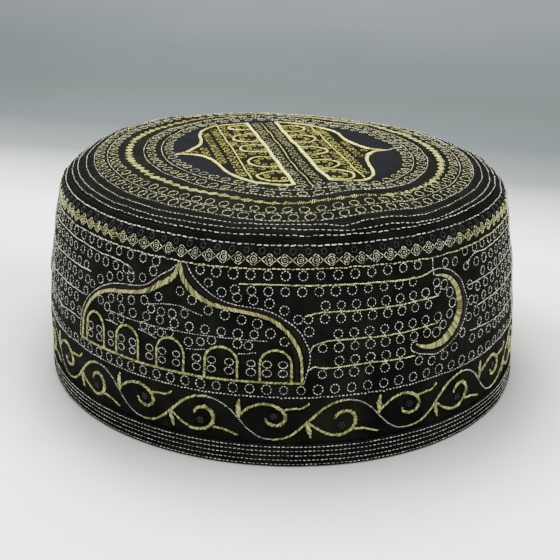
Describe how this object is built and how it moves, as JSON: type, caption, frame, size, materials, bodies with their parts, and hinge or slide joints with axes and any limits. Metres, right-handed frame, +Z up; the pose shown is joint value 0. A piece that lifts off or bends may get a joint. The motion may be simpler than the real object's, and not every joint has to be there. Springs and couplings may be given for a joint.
{
  "type": "embroidered prayer cap",
  "caption": "Tall round flat-topped prayer cap of quilted black cloth with an oval crown, a stitched hem and gold and silver embroidery, open below for the head.",
  "frame": {"origin": "middle of the mouth, at the level of the hem's lower edge, which the cap stands on", "axes": "+Z up through the crown, -Y towards the front of the cap as worn, +X to the wearer's left"},
  "size_m": [0.18, 0.1942, 0.0841],
  "materials": {
    "crown_cloth": "matt black quilted cloth with a faint sheen, embroidered in gold and silver-white thread",
    "band_cloth": "matt black quilted cloth, embroidered in gold and silver-white thread",
    "hem_cloth": "matt black folded cloth with rows of silver-white running stitch"
  },
  "bodies": {
    "root": {"crown": "crown_cloth", "side_band": "band_cloth", "hem_band": "hem_cloth"}
  },
  "joints": []
}
